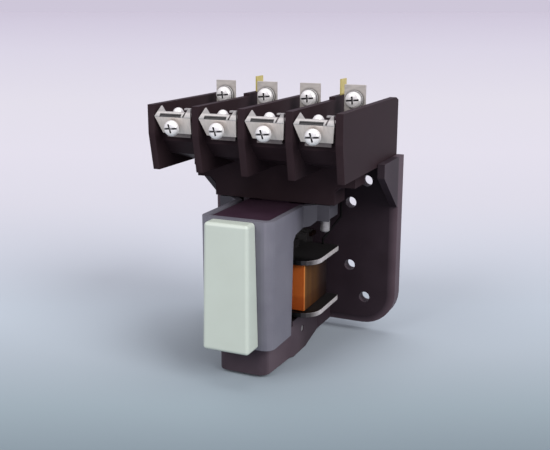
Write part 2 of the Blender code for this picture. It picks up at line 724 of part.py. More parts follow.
def plate_outline(inset, top):
    radius = BASE_CORNER - inset
    centre = (base_half - BASE_CORNER, level(BASE_BOTTOM_DROP) + BASE_CORNER)
    right = [(base_half - inset, top)] + list(reversed(arc(centre, radius, -90.0, 0.0, 8)))
    return mirrored(right)


plate_top = level(BASE_TOP_DROP)
plate_front_y = out(BASE_THICK)
rows = [(0.0, 0.0), (plate_front_y + BASE_CHAMFER_DEPTH, 0.0), (plate_front_y, BASE_CHAMFER)]
base = skin("base", [[(x, y, z) for x, z in plate_outline(inset, plate_top)] for y, inset in rows])
side_outline = [
    (0.0, level(SIDE_TOP_DROP)), (out(SIDE_REACH), level(SIDE_TOP_DROP)),
    (out(SIDE_REACH), level(SIDE_STEP_DROP)), (plate_front_y, level(SIDE_END_DROP)),
    (0.0, level(SIDE_END_DROP)),
]
for side in (-1.0, 1.0):
    low_x, high_x = sorted((side * (base_half - CHEEK_WALL), side * base_half))
    base = join(base, along_x("side", side_outline, low_x, high_x))
recess_z = plate_top - BASE_RIM
recess = along_y("recess", plate_outline(BASE_RIM, recess_z), out(BASE_RECESS), OVERLAP)
land = box("land", (-BASE_LAND, out(BASE_RECESS) - OVERLAP, level(BASE_BOTTOM_DROP) - OVERLAP),
           (BASE_LAND, OVERLAP * 2.0, plate_top))
recess = carve(recess, land)
hole_places = []
for side in (-1.0, 1.0):
    for x, drop, spacing in ((INNER_HOLE_X, INNER_HOLE_DROP, INNER_HOLE_SPACING),
                             (OUTER_HOLE_X, OUTER_HOLE_DROP, OUTER_HOLE_SPACING)):
        hole_places += [(side * x, level(drop)), (side * x, level(drop + spacing))]
base = carve(base, recess)
base = carve(base, *[rod("hole", HOLE_RADIUS, (x, plate_front_y - OVERLAP, z), (x, OVERLAP, z))
                     for x, z in hole_places])

nose_front = out(NOSE_REACH)
nose_break = nose_front + NOSE_FRONT_LENGTH
plate_inside = plate_front_y + OVERLAP


def nose_plan(wall, end):
    front_x = NOSE_FRONT_HALF_WIDTH - wall
    rear_x = NOSE_REAR_HALF_WIDTH - wall
    corner = max(NOSE_CORNER - wall, OVERLAP)
    lead = arc((front_x - corner, nose_front + wall + corner), corner, -90.0, 0.0)
    return mirrored(lead + [(rear_x, nose_break), (rear_x, end)])


nose = along_z("nose", nose_plan(0.0, plate_inside), level(NOSE_MIDDLE_DROP), level(NOSE_REAR_TOP_DROP))
foot = [(NOSE_REAR_HALF_WIDTH - OVERLAP, out(NOSE_HEEL_REACH)),
        (NOSE_REAR_HALF_WIDTH, out(NOSE_HEEL_REACH)),
        (NOSE_FOOT_HALF_WIDTH, plate_front_y), (NOSE_FOOT_HALF_WIDTH, plate_inside)]
nose = join(nose, along_z("foot", mirrored(foot), level(NOSE_MIDDLE_DROP), level(NOSE_REAR_TOP_DROP)))
step_front = nose_front - OVERLAP
nose = carve(nose, box("front_step", (-base_half, step_front, level(NOSE_FRONT_TOP_DROP)),
                       (base_half, out(NOSE_STEP_REACH), level(NOSE_REAR_TOP_DROP) + OVERLAP)))
under = [
    (step_front, level(NOSE_BOTTOM_DROP)), (out(NOSE_MIDDLE_REACH) - NOSE_CORNER, level(NOSE_BOTTOM_DROP)),
    (out(NOSE_MIDDLE_REACH), level(NOSE_MIDDLE_DROP)),
    (out(NOSE_MIDDLE_END_REACH), level(NOSE_MIDDLE_DROP)),
    (out(NOSE_HEEL_REACH), level(NOSE_HEEL_DROP)), (plate_front_y + OVERLAP * 2.0, level(NOSE_END_DROP)),
    (plate_front_y + OVERLAP * 2.0, level(NOSE_MIDDLE_DROP) - NOSE_CORNER),
    (step_front, level(NOSE_MIDDLE_DROP) - NOSE_CORNER),
]
nose = carve(nose, along_x("under", under, -base_half, base_half))
rail_high = yoke_low - FIT_GAP
nose = carve(nose, along_z("inside", nose_plan(NOSE_WALL, plate_front_y - NOSE_WALL), rail_high,
                           level(NOSE_REAR_TOP_DROP) + OVERLAP))
inside_low = level(NOSE_BOTTOM_DROP) + NOSE_WALL
nose = carve(nose, along_z("well", nose_plan(NOSE_WALL, out(NOSE_MIDDLE_END_REACH)), inside_low,
                           rail_high + OVERLAP))
rail_y = core_front + CORE_LIMB / 2.0
nose = join(nose,
            box("rail", (-NOSE_FRONT_HALF_WIDTH + OVERLAP, rail_y - NOSE_RAIL / 2.0, inside_low - OVERLAP),
                      (NOSE_FRONT_HALF_WIDTH - OVERLAP, rail_y + NOSE_RAIL / 2.0, rail_high)))
nose = carve(nose, rod("pin_space", PIN_RADIUS + FIT_GAP, (-base_half, magnet_pin_y, magnet_pin_z),
                       (base_half, magnet_pin_y, magnet_pin_z)))
base = join(base, nose)
base = carve(base, *[rod("fixing_space", BLOCK_SCREW_RADIUS + FIT_GAP,
                         (side * BLOCK_SCREW_X, plate_front_y - OVERLAP, level(BLOCK_SCREW_DROP)),
                         (side * BLOCK_SCREW_X, OVERLAP, level(BLOCK_SCREW_DROP)), SMALL_STEPS)
                     for side in (-1.0, 1.0)])
finish(base, purple)

# Front frame: walls round the crosshead, floor on the nose, arms and drilled ears
frame_front = out(FRAME_FRONT_REACH)
arm_back = out(FRAME_EAR_SLOPE_REACH)
ear_front = out(EAR_REACH)
ear_back = ear_front + EAR_DEPTH
flare = EAR_INNER + FRAME_WALL / 2.0 - FRAME_HALF_WIDTH
inner_x = FRAME_HALF_WIDTH - FRAME_WALL
inner_front = frame_front + FRAME_FRONT_WALL
inner_corner = FRAME_CORNER - FRAME_WALL
outer_path = arc((FRAME_HALF_WIDTH - FRAME_CORNER, frame_front + FRAME_CORNER), FRAME_CORNER, -90.0, 0.0)
outer_path += [(FRAME_HALF_WIDTH, ear_front - flare), (FRAME_HALF_WIDTH + flare, ear_front),
               (EAR_OUTER, ear_front), (EAR_OUTER, ear_back), (EAR_INNER, ear_back),
               (EAR_INNER, ear_front - flare + EAR_INNER - inner_x + FRAME_WALL / 2.0),
               (inner_x, ear_front - flare + FRAME_WALL / 2.0)]
outer_path += list(reversed(arc((inner_x - inner_corner, inner_front + inner_corner), inner_corner, -90.0,
                                0.0)))
frame = along_z("front_frame", mirrored(outer_path), level(FRAME_BOTTOM_DROP), level(FRAME_TOP_DROP))
frame_side = out(FRAME_SIDE_REACH)
frame_foot = out(FRAME_FOOT_REACH)
rear_cut = [
    (ear_back + OVERLAP, level(FRAME_EAR_BOTTOM_DROP)), (arm_back, level(FRAME_EAR_BOTTOM_DROP)),
    (out(FRAME_ARM_REACH), level(FRAME_ARM_DROP) + FRAME_ARM_RISE),
    (frame_side + FRAME_ARM_LENGTH, level(FRAME_ARM_DROP)),
    (frame_side, level(FRAME_ARM_DROP) - FRAME_ARM_LENGTH),
    (frame_foot, level(FRAME_BOTTOM_DROP) - OVERLAP),
    (ear_back + OVERLAP, level(FRAME_BOTTOM_DROP) - OVERLAP),
]
frame = carve(frame, along_x("rear_cut", rear_cut, -base_half, base_half))
frame = join(frame,
             box("frame_floor", (-inner_x - OVERLAP, inner_front - OVERLAP, level(FRAME_BOTTOM_DROP)),
                        (inner_x + OVERLAP, core_front - SLIDE_GAP, level(FRAME_BOTTOM_DROP) + FRAME_WALL)))
frame = carve(frame, *[rod("stud_space", STUD_RADIUS + FIT_GAP,
                           (side * STUD_X, out(STUD_REACH), level(STUD_END_DROP) - OVERLAP),
                           (side * STUD_X, out(STUD_REACH), level(FRAME_TOP_DROP) + OVERLAP))
                       for side in (-1.0, 1.0)])
finish(frame, grey, True)
stud_high = level(NECK_DROP) + STUD_SEAT
for name, side in (("frame_stud_left", -1.0), ("frame_stud_right", 1.0)):
    profile = [(STUD_RADIUS * 0.8, 0.0), (STUD_RADIUS, STUD_RADIUS * 0.25),
               (STUD_RADIUS, stud_high - level(STUD_END_DROP))]
    finish(turned(name, profile, (side * STUD_X, out(STUD_REACH), level(STUD_END_DROP)), (0.0, 0.0, 1.0)),
           steel, True)

# Label block: plain block with soft edges on the front of the frame
label_back = frame_front - FIT_GAP
label_low = level(LABEL_BOTTOM_DROP)
label_high = level(LABEL_TOP_DROP)
label_outline = [(label_back, label_low), (label_back, label_high),
                 (label_back - LABEL_TOP_THICK, label_high),
                 (label_back - LABEL_BOTTOM_THICK, label_low)]
label = along_x("label_block", label_outline, -LABEL_HALF_WIDTH, LABEL_HALF_WIDTH)
work = bmesh.new()
work.from_mesh(label.data)
front_edges = [edge for edge in work.edges
               if any(abs(vert.co.y - label_back) > FIT_GAP for vert in edge.verts)]
bmesh.ops.bevel(work, geom=front_edges, offset=LABEL_SOFT, segments=3, profile=0.5, affect="EDGES")
work.to_mesh(label.data)
work.free()
finish(label, pale, True)

# Terminals, contacts and springs, one set for each pole
bridge_front = carrier_y - BRIDGE_HALF_LENGTH
bridge_back = carrier_y + BRIDGE_HALF_LENGTH
front_tip = bridge_front + TIP_INSET
rear_tip = bridge_back - TIP_INSET
strip_front = out(STRIP_REACH)
leg_front = out(STRIP_LEG_REACH)
leg_back = leg_front + STRIP_THICK
strip_top = level(STRIP_TOP_DROP)
tab_front = out(TAB_REACH)
tab_back = tab_front + STRIP_THICK
clamp_front = out(CLAMP_REACH)
fold_slope = CLAMP_EAR_BACK / (CLAMP_TIP_DROP - CLAMP_EAR_DROP)
slit_lip_lean = CLAMP_SLIT_LEAN * (CLAMP_TIP_DROP - CLAMP_LIP_DROP) / (CLAMP_TIP_DROP - CLAMP_HOOK_DROP)
hook_front = clamp_front + fold_slope * (CLAMP_TIP_DROP - CLAMP_HOOK_DROP)
hook_high = level(CLAMP_HOOK_DROP)
slot_low = level(CLAMP_TIP_DROP)
slot_outline = [
    (clamp_front - OVERLAP, slot_low), (clamp_front + CLAMP_SLOT_DEPTH, slot_low),
    (clamp_front + fold_slope * CLAMP_SLOT_HEIGHT + CLAMP_SLOT_DEPTH, slot_low + CLAMP_SLOT_HEIGHT),
    (clamp_front - OVERLAP, slot_low + CLAMP_SLOT_HEIGHT),
]
screw_z = level(CLAMP_SCREW_DROP)
tab_screw_z = BLOCK_TOP + TAB_SCREW_RISE
for number, x in enumerate(pole_x, 1):
    outline = [
        (strip_front, strip_top), (knee_back, strip_top), (knee_back, strip_high),
        (front_tip + FOOT_PAST_TIP, strip_high), (front_tip + FOOT_PAST_TIP, strip_low),
        (knee_back - STRIP_THICK, strip_low), (knee_back - STRIP_THICK, strip_top - STRIP_THICK),
        (leg_back, strip_top - STRIP_THICK), (leg_back, level(STRIP_LIP_DROP)),
        (leg_front, level(STRIP_LIP_DROP)), (leg_front, strip_top - STRIP_THICK),
        (strip_front, strip_top - STRIP_THICK),
    ]
    strip = along_x(f"front_strip_{number}", outline, x - STRIP_HALF_WIDTH, x + STRIP_HALF_WIDTH)
    for side in (-1.0, 1.0):
        low_x, high_x = sorted((x + side * STRIP_TONGUE_HALF_WIDTH,
                                x + side * (STRIP_HALF_WIDTH + OVERLAP)))
        strip = carve(strip,
                      box("tongue_side", (low_x, strip_front - OVERLAP, strip_top - STRIP_THICK - OVERLAP),
                                 (high_x, leg_front, strip_top + OVERLAP)))
    strip = join(strip, rod("tip", TIP_RADIUS, (x, front_tip, strip_high - OVERLAP),
                            (x, front_tip, fixed_tip_high),
                            SMALL_STEPS))
    strip = carve(strip, rod("screw_space", CLAMP_SHAFT_RADIUS + FIT_GAP, (x, leg_front - OVERLAP, screw_z),
                             (x, leg_back + OVERLAP, screw_z), SMALL_STEPS),
                  rod("dome_space", DOME_SHAFT_RADIUS + FIT_GAP,
                      (x, out(DOME_REACH), strip_top - DOME_SHAFT_LENGTH - OVERLAP),
                      (x, out(DOME_REACH), strip_top + OVERLAP), SMALL_STEPS))
    finish(strip, nickel)

    clamp_outline = [
        (x + clamp_foot, level(CLAMP_FOOT_DROP)), (x + clamp_tip, level(CLAMP_TIP_DROP)),
        (x + clamp_hook, level(CLAMP_HOOK_DROP)),
        (x + clamp_slit + CLAMP_SLIT + CLAMP_SLIT_LEAN, level(CLAMP_HOOK_DROP)),
        (x + clamp_slit + CLAMP_SLIT, level(CLAMP_TIP_DROP)), (x + clamp_slit, level(CLAMP_TIP_DROP)),
        (x + clamp_slit + slit_lip_lean, level(CLAMP_LIP_DROP)), (x - clamp_lip, level(CLAMP_LIP_DROP)),
        (x - clamp_ear, level(CLAMP_EAR_DROP)), (x - clamp_ear - CLAMP_EAR_FOOT, level(CLAMP_LIP_DROP)),
        (x - clamp_tip, level(CLAMP_TIP_DROP)), (x - clamp_foot, level(CLAMP_FOOT_DROP)),
    ]
    fold = [(clamp_front + CLAMP_FOOT_BACK, level(CLAMP_FOOT_DROP) - OVERLAP),
            (clamp_front, level(CLAMP_TIP_DROP)),
            (clamp_front + CLAMP_EAR_BACK, level(CLAMP_EAR_DROP) + OVERLAP)]
    fold += [(y + CLAMP_THICK, z) for y, z in reversed(fold)]
    clamp = along_x(f"clamp_plate_{number}", fold, x - clamp_tip - OVERLAP, x + clamp_tip + OVERLAP)
    clamp = combine(clamp, [along_y("outline", clamp_outline, clamp_front - OVERLAP,
                                    clamp_front + CLAMP_FOOT_BACK + CLAMP_THICK + OVERLAP)], "INTERSECT")
    clamp = join(clamp,
                 box("hook", (x + clamp_hook - CLAMP_HOOK_LENGTH, hook_front, hook_high - CLAMP_HOOK_THICK),
                            (x + clamp_hook, hook_front + CLAMP_HOOK_DEPTH, hook_high)))
    clamp = carve(clamp, along_x("slot", slot_outline, x - CLAMP_SLOT_LEFT, x + CLAMP_SLOT_RIGHT))
    clamp = carve(clamp,
                  rod("screw_space", CLAMP_SHAFT_RADIUS + FIT_GAP, (x, clamp_front - OVERLAP, screw_z),
                             (x, clamp_front + CLAMP_FOOT_BACK + CLAMP_THICK, screw_z), SMALL_STEPS))
    finish(clamp, nickel)
    head_face = clamp_front - FIT_GAP - CLAMP_HEAD_HEIGHT
    finish(pan_screw(f"clamp_screw_{number}", (x, head_face, screw_z), CLAMP_HEAD_RADIUS, CLAMP_HEAD_HEIGHT,
                     CLAMP_SHAFT_RADIUS, CLAMP_SHAFT_LENGTH, CLAMP_SCREW_TURN), steel, True)
    dome = [(DOME_RADIUS * 0.25, DOME_HEIGHT), (DOME_RADIUS * 0.6, DOME_HEIGHT * 0.86),
            (DOME_RADIUS * 0.88, DOME_HEIGHT * 0.55), (DOME_RADIUS, DOME_HEIGHT * 0.2),
            (DOME_RADIUS, FIT_GAP),
            (DOME_SHAFT_RADIUS, FIT_GAP), (DOME_SHAFT_RADIUS, FIT_GAP - DOME_SHAFT_LENGTH)]
    finish(turned(f"strip_screw_{number}", dome, (x, out(DOME_REACH), strip_top), (0.0, 0.0, 1.0)), steel,
           True)

    outline = [
        (tab_front, BLOCK_TOP + TAB_RISE), (tab_back, BLOCK_TOP + TAB_RISE), (tab_back, strip_low),
        (rear_tip - FOOT_PAST_TIP, strip_low), (rear_tip - FOOT_PAST_TIP, strip_high),
        (tab_front, strip_high),
    ]
    tab = along_x(f"rear_strip_{number}", outline, x - TAB_HALF_WIDTH, x + TAB_HALF_WIDTH)
    tab = join(tab,
               rod("tip", TIP_RADIUS, (x, rear_tip, strip_high - OVERLAP), (x, rear_tip, fixed_tip_high),
                        SMALL_STEPS))
    tab = carve(tab, rod("screw_space", CLAMP_SHAFT_RADIUS + FIT_GAP, (x, tab_front - OVERLAP, tab_screw_z),
                         (x, tab_back + OVERLAP, tab_screw_z), SMALL_STEPS))
    finish(tab, nickel)
    washer_back = tab_front - FIT_GAP
    washer_front = washer_back - WASHER_THICK
    washer = rod(f"rear_washer_{number}", WASHER_RADIUS, (x, washer_front, tab_screw_z),
                 (x, washer_back, tab_screw_z))
    washer = carve(washer, rod("screw_space", CLAMP_SHAFT_RADIUS + FIT_GAP,
                               (x, washer_front - OVERLAP, tab_screw_z),
                               (x, washer_back + OVERLAP, tab_screw_z), SMALL_STEPS))
    finish(washer, steel, True)
    head_face = washer_front - FIT_GAP - TAB_HEAD_HEIGHT
    finish(pan_screw(f"rear_screw_{number}", (x, head_face, tab_screw_z), TAB_HEAD_RADIUS, TAB_HEAD_HEIGHT,
                     CLAMP_SHAFT_RADIUS, TAB_SHAFT_LENGTH, TAB_SCREW_TURN), steel, True)

    bridge = box(f"bridge_{number}", (x - BRIDGE_HALF_WIDTH, bridge_front, bridge_low),
                 (x + BRIDGE_HALF_WIDTH, bridge_back, bridge_high))
    for place in (front_tip, rear_tip):
        bridge = join(bridge,
                      rod("tip", TIP_RADIUS, (x, place, moving_tip_low), (x, place, bridge_low + OVERLAP),
                                  SMALL_STEPS))
    finish(bridge, nickel, origin=(x, carrier_y, bridge_low))
    finish(spring(f"contact_spring_{number}", x, carrier_y, bridge_high + FIT_GAP, cap_low - FIT_GAP,
                  CONTACT_SPRING_RADIUS, CONTACT_SPRING_WIRE, CONTACT_SPRING_TURNS), steel, True,
           (x, carrier_y, cap_low))

for name, y in (("return_spring_front", (limb_front_back + centre_front) / 2.0),
                ("return_spring_rear", (centre_back + limb_rear_front) / 2.0)):
    finish(spring(name, 0.0, y, flange_high + FIT_GAP, armature_low - FIT_GAP, RETURN_SPRING_RADIUS,
                  RETURN_SPRING_WIRE, RETURN_SPRING_TURNS), steel, True)

# Coil blades with their leads, and the screws that hold the block to the base
tail_front = blade_front + (BLADE_LENGTH - BLADE_TAIL_LENGTH) / 2.0
tail_back = tail_front + BLADE_TAIL_LENGTH
tail_y = (tail_front + tail_back) / 2.0
for name, x in zip(("left", "right"), blade_x):
    outline = [
        (blade_front, BLOCK_TOP + BLADE_RISE), (blade_back, BLOCK_TOP + BLADE_RISE),
        (blade_back, level(BLADE_NECK_DROP)), (tail_back, level(BLADE_NECK_DROP)),
        (tail_back, level(BLADE_TAIL_DROP)), (tail_front, level(BLADE_TAIL_DROP)),
        (tail_front, level(BLADE_NECK_DROP)), (blade_front, level(BLADE_NECK_DROP)),
    ]
    finish(along_x(f"coil_blade_{name}", outline, x - blade_half, x + blade_half), brass)
    way = math.copysign(1.0, x)
    top = level(BLADE_TAIL_DROP) - FIT_GAP
    points = [(x, tail_y, top), (x, tail_y, level(LEAD_BEND_DROP)),
              (way * LEAD_END_X, out(LEAD_END_REACH), flange_high + LEAD_RADIUS * 4.0),
              (way * LEAD_END_X, out(LEAD_END_REACH), flange_high + FIT_GAP)]
    finish(tube_along(f"coil_lead_{name}", points, LEAD_RADIUS, 8), cover, True)
for name, side in (("left", -1.0), ("right", 1.0)):
    head_back = out(BASE_RECESS) - FIT_GAP + BLOCK_SCREW_HEAD_HEIGHT + FIT_GAP * 2.0
    profile = [(BLOCK_SCREW_HEAD_RADIUS * 0.9, 0.0),
               (BLOCK_SCREW_HEAD_RADIUS, BLOCK_SCREW_HEAD_HEIGHT * 0.3),
               (BLOCK_SCREW_HEAD_RADIUS, BLOCK_SCREW_HEAD_HEIGHT),
               (BLOCK_SCREW_RADIUS, BLOCK_SCREW_HEAD_HEIGHT),
               (BLOCK_SCREW_RADIUS, BLOCK_SCREW_LENGTH)]
    finish(turned(f"block_screw_{name}", profile,
                  (side * BLOCK_SCREW_X, head_back, level(BLOCK_SCREW_DROP)),
                  (0.0, -1.0, 0.0)), steel, True)
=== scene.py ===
import math

import bmesh
import bpy
import mathutils
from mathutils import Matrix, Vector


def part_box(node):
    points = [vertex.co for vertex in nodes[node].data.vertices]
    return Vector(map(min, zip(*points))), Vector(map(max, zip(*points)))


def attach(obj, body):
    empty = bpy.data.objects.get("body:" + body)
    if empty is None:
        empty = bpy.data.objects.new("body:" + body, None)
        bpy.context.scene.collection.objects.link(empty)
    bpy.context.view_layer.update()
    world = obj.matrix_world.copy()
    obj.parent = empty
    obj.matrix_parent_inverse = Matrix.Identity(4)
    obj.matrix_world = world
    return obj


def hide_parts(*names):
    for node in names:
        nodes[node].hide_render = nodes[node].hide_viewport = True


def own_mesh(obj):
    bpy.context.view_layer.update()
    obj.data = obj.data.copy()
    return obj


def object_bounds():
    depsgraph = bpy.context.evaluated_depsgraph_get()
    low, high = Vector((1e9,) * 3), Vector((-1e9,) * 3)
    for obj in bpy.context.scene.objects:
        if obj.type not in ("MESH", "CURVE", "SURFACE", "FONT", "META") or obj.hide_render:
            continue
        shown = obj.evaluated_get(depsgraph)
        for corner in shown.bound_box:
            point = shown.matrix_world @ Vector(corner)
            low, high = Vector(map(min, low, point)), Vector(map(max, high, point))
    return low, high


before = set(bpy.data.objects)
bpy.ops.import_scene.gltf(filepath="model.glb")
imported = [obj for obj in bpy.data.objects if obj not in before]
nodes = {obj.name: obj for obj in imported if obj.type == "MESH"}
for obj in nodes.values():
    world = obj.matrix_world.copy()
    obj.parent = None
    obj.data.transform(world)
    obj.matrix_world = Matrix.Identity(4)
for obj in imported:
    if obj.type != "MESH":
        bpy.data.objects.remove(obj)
cad_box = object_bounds()
scene = bpy.context.scene

# Camera, floor and light.
# The camera stands at the front right and a little above, as for the photograph. The object
# stands on a pale sheet, and large soft lamps light it from the right, the left and above. The
# sheet's colour carries painted light and shade, lighter and darker in bands across the view.
bpy.ops.object.select_all(action="DESELECT")
view_turn = math.radians(24.0)
view_tilt = math.radians(75.85)
camera_data = bpy.data.cameras.new("camera")
camera_data.lens = 55.64
camera_data.sensor_width = 36.0
camera = bpy.data.objects.new("camera", camera_data)
camera.location = (0.17272, -0.43522, 0.12035)
camera.rotation_euler = (view_tilt, 0.0, view_turn)
scene.collection.objects.link(camera)
scene.camera = camera

floor_width = 200.0
floor_gap = 0.0002
sheet_fold = 0.16
sheet_reach = 0.6
bpy.ops.mesh.primitive_plane_add(size=floor_width, location=(0.0, 0.0, cad_box[0][2] - floor_gap))
floor = bpy.context.object
floor.name = "floor"
sheet = bpy.data.materials.new("pale_sheet")
sheet.use_nodes = True
tree = sheet.node_tree
shader = tree.nodes["Principled BSDF"]
shader.inputs["Roughness"].default_value = 0.9
shader.inputs["Specular IOR Level"].default_value = 0.1
place = tree.nodes.new("ShaderNodeTexCoord")
turn = tree.nodes.new("ShaderNodeMapping")
turn.inputs["Rotation"].default_value[2] = -view_turn
split = tree.nodes.new("ShaderNodeSeparateXYZ")
ahead = tree.nodes.new("ShaderNodeMath")
ahead.inputs[1].default_value = sheet_fold
near = tree.nodes.new("ShaderNodeMath")
near.operation = "ABSOLUTE"
far = tree.nodes.new("ShaderNodeMath")
far.inputs[1].default_value = sheet_reach
share = tree.nodes.new("ShaderNodeMath")
share.operation = "DIVIDE"
share.use_clamp = True
tint = tree.nodes.new("ShaderNodeValToRGB")
tint.color_ramp.elements[0].color = (0.205, 0.252, 0.286, 1.0)
tint.color_ramp.elements[1].color = (0.470, 0.435, 0.518, 1.0)
# Painted light and shade: the sheet is lighter and darker in bands by its distance from a line across the
# view.
sheet_painted_light_and_shade = (
    (0.010, (0.212, 0.260, 0.295)), (0.069, (0.278, 0.335, 0.374)), (0.146, (0.366, 0.413, 0.464)),
    (0.232, (0.455, 0.503, 0.566)), (0.328, (0.512, 0.534, 0.598)), (0.435, (0.565, 0.559, 0.618)),
    (0.557, (0.600, 0.582, 0.643)), (0.696, (0.594, 0.576, 0.630)), (0.856, (0.548, 0.525, 0.600)),
    (0.964, (0.495, 0.463, 0.549)),
)
for spot, colour in sheet_painted_light_and_shade:
    tint.color_ramp.elements.new(spot).color = (*colour, 1.0)
tree.links.new(place.outputs["Object"], turn.inputs["Vector"])
tree.links.new(turn.outputs["Vector"], split.inputs["Vector"])
tree.links.new(split.outputs["Y"], ahead.inputs[0])
tree.links.new(ahead.outputs["Value"], near.inputs[0])
tree.links.new(near.outputs["Value"], far.inputs[0])
tree.links.new(near.outputs["Value"], share.inputs[0])
tree.links.new(far.outputs["Value"], share.inputs[1])
tree.links.new(share.outputs["Value"], tint.inputs["Fac"])
tree.links.new(tint.outputs["Color"], shader.inputs["Base Color"])
floor.data.materials.append(sheet)

lamp_spread = math.radians(35.0)
lamps = (
    ("right_lamp", (0.80, -0.35, 0.55), 2.3),
    ("front_left_lamp", (-0.40, -0.80, 0.60), 1.3),
    ("top_lamp", (0.05, 0.10, 1.00), 0.8),
)
for name, place, strength in lamps:
    lamp_data = bpy.data.lights.new(name, "SUN")
    lamp_data.angle = lamp_spread
    lamp_data.energy = strength
    lamp = bpy.data.objects.new(name, lamp_data)
    lamp.location = place
    lamp.rotation_euler = (-lamp.location.normalized()).to_track_quat("-Z", "Y").to_euler()
    scene.collection.objects.link(lamp)
scene.view_settings.view_transform = "Standard"
world = bpy.data.worlds.new("studio")
world.use_nodes = True
tree = world.node_tree
room = tree.nodes["Background"]
room.inputs["Color"].default_value = (0.86, 0.84, 0.90, 1.0)
room.inputs["Strength"].default_value = 0.5
backdrop = tree.nodes.new("ShaderNodeBackground")
backdrop.inputs["Color"].default_value = (0.617, 0.571, 0.694, 1.0)
rays = tree.nodes.new("ShaderNodeLightPath")
seen = tree.nodes.new("ShaderNodeMath")
shown = tree.nodes.new("ShaderNodeMath")
seen.operation = shown.operation = "MAXIMUM"
pick = tree.nodes.new("ShaderNodeMixShader")
tree.links.new(rays.outputs["Is Camera Ray"], seen.inputs[0])
tree.links.new(rays.outputs["Is Glossy Ray"], seen.inputs[1])
tree.links.new(seen.outputs["Value"], shown.inputs[0])
tree.links.new(rays.outputs["Is Transmission Ray"], shown.inputs[1])
tree.links.new(shown.outputs["Value"], pick.inputs["Fac"])
tree.links.new(room.outputs["Background"], pick.inputs[1])
tree.links.new(backdrop.outputs["Background"], pick.inputs[2])
tree.links.new(pick.outputs["Shader"], tree.nodes["World Output"].inputs["Surface"])
scene.world = world


# Base and contact block.
# Two thermoset mouldings, nearly black with a brown-purple cast. Their edges are a little
# soft from the mould, and the faces have a fine pressed grain.
def soften(name, width, steps=2):
    node = nodes[name]
    weld = node.modifiers.new("weld", "WELD")
    weld.merge_threshold = 0.00001
    flat = node.modifiers.new("flat", "DECIMATE")
    flat.decimate_type = "DISSOLVE"
    flat.angle_limit = math.radians(1.0)
    edge = node.modifiers.new("edge", "BEVEL")
    edge.width = width
    edge.segments = steps
    edge.limit_method = "ANGLE"
    edge.angle_limit = math.radians(40.0)
    edge.harden_normals = True
    return node


def coat(name, material):
    node = nodes[name]
    for place in node.material_slots:
        place.material = material


# Painted shade: multiplies a colour by a shade value.
def multiplied(tree, tint, shade):
    painted_shade_mix = tree.nodes.new("ShaderNodeMix")
    painted_shade_mix.data_type = "RGBA"
    painted_shade_mix.blend_type = "MULTIPLY"
    painted_shade_mix.inputs["Factor"].default_value = 1.0
    tree.links.new(tint, painted_shade_mix.inputs["A"])
    tree.links.new(shade, painted_shade_mix.inputs["B"])
    return painted_shade_mix.outputs["Result"]


# Painted light and shade: multiplies a colour by a ramp along one of the object's axes.
def painted_light_along(tree, tint, axis, start, end, stops):
    place = tree.nodes.new("ShaderNodeTexCoord")
    split = tree.nodes.new("ShaderNodeSeparateXYZ")
    reach = tree.nodes.new("ShaderNodeMapRange")
    reach.inputs["From Min"].default_value = start
    reach.inputs["From Max"].default_value = end
    painted_light_ramp = tree.nodes.new("ShaderNodeValToRGB")
    painted_light_ramp.color_ramp.elements[0].color = (*stops[0][1], 1.0)
    painted_light_ramp.color_ramp.elements[1].color = (*stops[-1][1], 1.0)
    for spot, colour in stops[1:-1]:
        painted_light_ramp.color_ramp.elements.new(spot).color = (*colour, 1.0)
    tree.links.new(place.outputs["Object"], split.inputs["Vector"])
    tree.links.new(split.outputs[axis], reach.inputs["Value"])
    tree.links.new(reach.outputs["Result"], painted_light_ramp.inputs["Fac"])
    return multiplied(tree, tint, painted_light_ramp.outputs["Color"])


def recolour(made, change, *values):
    shader = made.node_tree.nodes["Principled BSDF"]
    tint = shader.inputs["Base Color"].links[0].from_socket
    made.node_tree.links.new(change(made.node_tree, tint, *values), shader.inputs["Base Color"])


def moulding(name, dark, light, rough, grain, shine):
    made = bpy.data.materials.new(name)
    made.use_nodes = True
    tree = made.node_tree
    shader = tree.nodes["Principled BSDF"]
    shader.inputs["Specular IOR Level"].default_value = shine
    place = tree.nodes.new("ShaderNodeTexCoord")
    cloud = tree.nodes.new("ShaderNodeTexNoise")
    cloud.inputs["Scale"].default_value = 60.0
    cloud.inputs["Detail"].default_value = 4.0
    tint = tree.nodes.new("ShaderNodeValToRGB")
    tint.color_ramp.elements[0].position = 0.35
    tint.color_ramp.elements[0].color = (*dark, 1.0)
    tint.color_ramp.elements[1].position = 0.68
    tint.color_ramp.elements[1].color = (*light, 1.0)
    speck = tree.nodes.new("ShaderNodeTexNoise")
    speck.inputs["Scale"].default_value = 1800.0
    speck.inputs["Detail"].default_value = 3.0
    gloss = tree.nodes.new("ShaderNodeMapRange")
    gloss.inputs["To Min"].default_value = rough - 0.06
    gloss.inputs["To Max"].default_value = rough + 0.08
    relief = tree.nodes.new("ShaderNodeBump")
    relief.inputs["Strength"].default_value = grain
    relief.inputs["Distance"].default_value = 0.0001
    link = tree.links.new
    link(place.outputs["Object"], cloud.inputs["Vector"])
    link(place.outputs["Object"], speck.inputs["Vector"])
    link(cloud.outputs["Fac"], tint.inputs["Fac"])
    link(tint.outputs["Color"], shader.inputs["Base Color"])
    link(cloud.outputs["Fac"], gloss.inputs["Value"])
    link(gloss.outputs["Result"], shader.inputs["Roughness"])
    link(speck.outputs["Fac"], relief.inputs["Height"])
    link(relief.outputs["Normal"], shader.inputs["Normal"])
    return made


